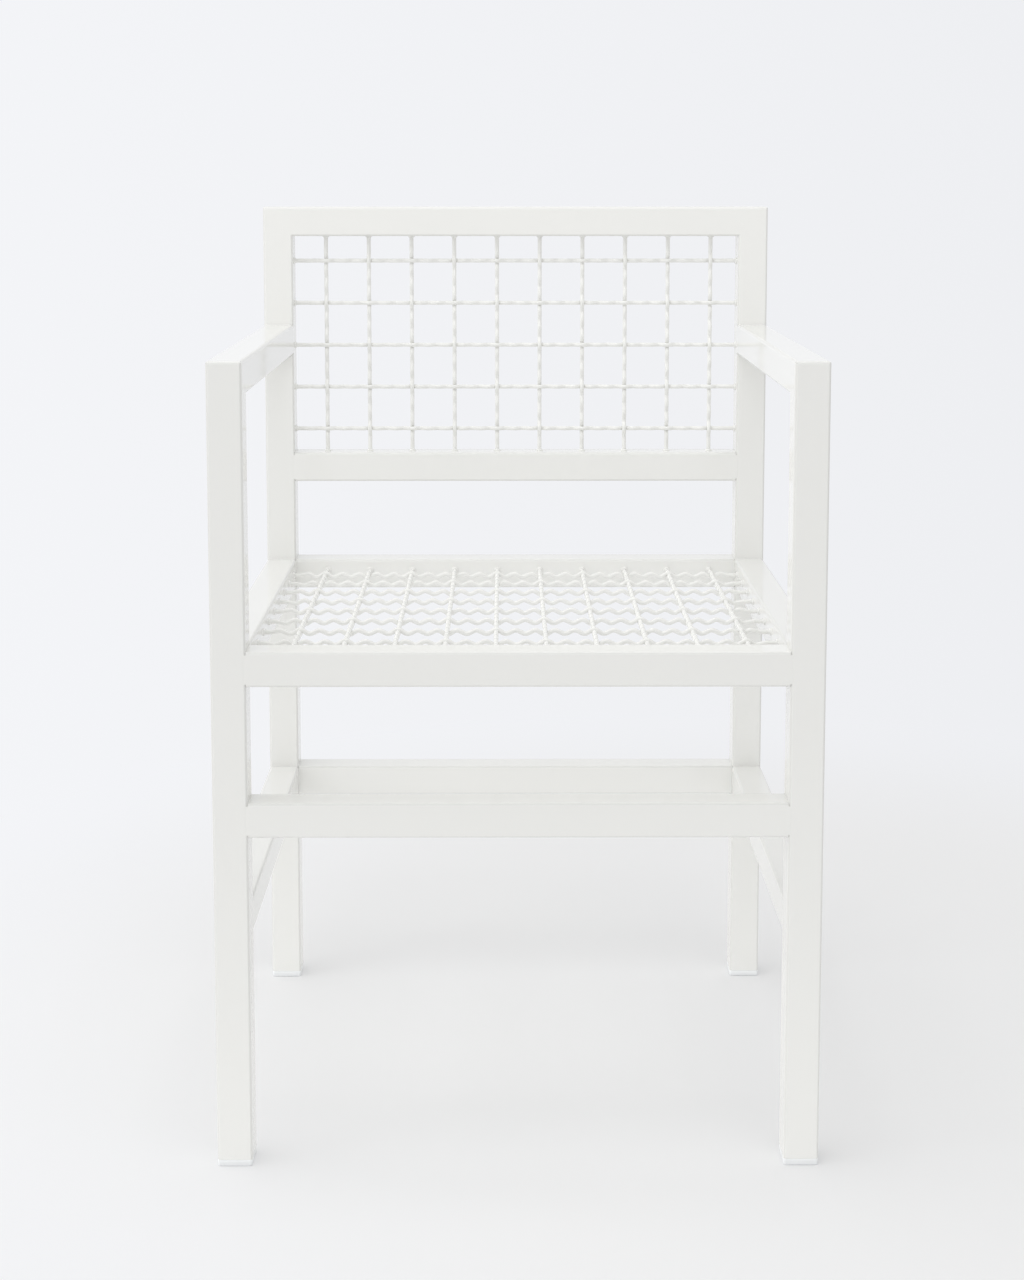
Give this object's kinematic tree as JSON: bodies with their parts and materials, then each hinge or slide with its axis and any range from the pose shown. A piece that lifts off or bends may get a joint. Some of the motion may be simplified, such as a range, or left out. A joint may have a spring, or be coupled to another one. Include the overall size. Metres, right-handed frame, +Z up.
{
  "type": "metal armchair",
  "caption": "Welded square-tube armchair in white powder coat, with woven crimped-wire mesh as its seat and back, low stretchers and plastic foot caps.",
  "frame": {"origin": "on the floor, at the middle of the four feet", "axes": "+X to the right of someone who looks at the chair's front, +Y towards the back of the chair, +Z up"},
  "size_m": [0.516, 0.45, 0.815],
  "materials": {
    "frame_powder_coat": "gloss",
    "mesh_powder_coat": "gloss",
    "foot_cap_plastic": "satin"
  },
  "bodies": {
    "root": {"back_cross_wire_01": "mesh_powder_coat", "back_cross_wire_02": "mesh_powder_coat", "back_cross_wire_03": "mesh_powder_coat", "back_cross_wire_04": "mesh_powder_coat", "back_cross_wire_05": "mesh_powder_coat", "back_lower_rail": "frame_powder_coat", "back_top_rail": "frame_powder_coat", "back_upright_wire_01": "mesh_powder_coat", "back_upright_wire_02": "mesh_powder_coat", "back_upright_wire_03": "mesh_powder_coat", "back_upright_wire_04": "mesh_powder_coat", "back_upright_wire_05": "mesh_powder_coat", "back_upright_wire_06": "mesh_powder_coat", "back_upright_wire_07": "mesh_powder_coat", "back_upright_wire_08": "mesh_powder_coat", "back_upright_wire_09": "mesh_powder_coat", "back_upright_wire_10": "mesh_powder_coat", "back_wire_welds": "mesh_powder_coat", "frame_welds": "frame_powder_coat", "front_stretcher": "frame_powder_coat", "left_armrest": "frame_powder_coat", "left_back_post": "frame_powder_coat", "left_front_foot_cap": "foot_cap_plastic", "left_front_leg": "frame_powder_coat", "left_rear_foot_cap": "foot_cap_plastic", "left_seat_rail": "frame_powder_coat", "left_stretcher": "frame_powder_coat", "rear_stretcher": "frame_powder_coat", "right_armrest": "frame_powder_coat", "right_back_post": "frame_powder_coat", "right_front_foot_cap": "foot_cap_plastic", "right_front_leg": "frame_powder_coat", "right_rear_foot_cap": "foot_cap_plastic", "right_seat_rail": "frame_powder_coat", "right_stretcher": "frame_powder_coat", "seat_cross_wire_01": "mesh_powder_coat", "seat_cross_wire_02": "mesh_powder_coat", "seat_cross_wire_03": "mesh_powder_coat", "seat_cross_wire_04": "mesh_powder_coat", "seat_cross_wire_05": "mesh_powder_coat", "seat_cross_wire_06": "mesh_powder_coat", "seat_cross_wire_07": "mesh_powder_coat", "seat_cross_wire_08": "mesh_powder_coat", "seat_cross_wire_09": "mesh_powder_coat", "seat_front_rail": "frame_powder_coat", "seat_long_wire_01": "mesh_powder_coat", "seat_long_wire_02": "mesh_powder_coat", "seat_long_wire_03": "mesh_powder_coat", "seat_long_wire_04": "mesh_powder_coat", "seat_long_wire_05": "mesh_powder_coat", "seat_long_wire_06": "mesh_powder_coat", "seat_long_wire_07": "mesh_powder_coat", "seat_long_wire_08": "mesh_powder_coat", "seat_long_wire_09": "mesh_powder_coat", "seat_long_wire_10": "mesh_powder_coat", "seat_rear_rail": "frame_powder_coat", "seat_wire_welds": "mesh_powder_coat"}
  },
  "joints": []
}
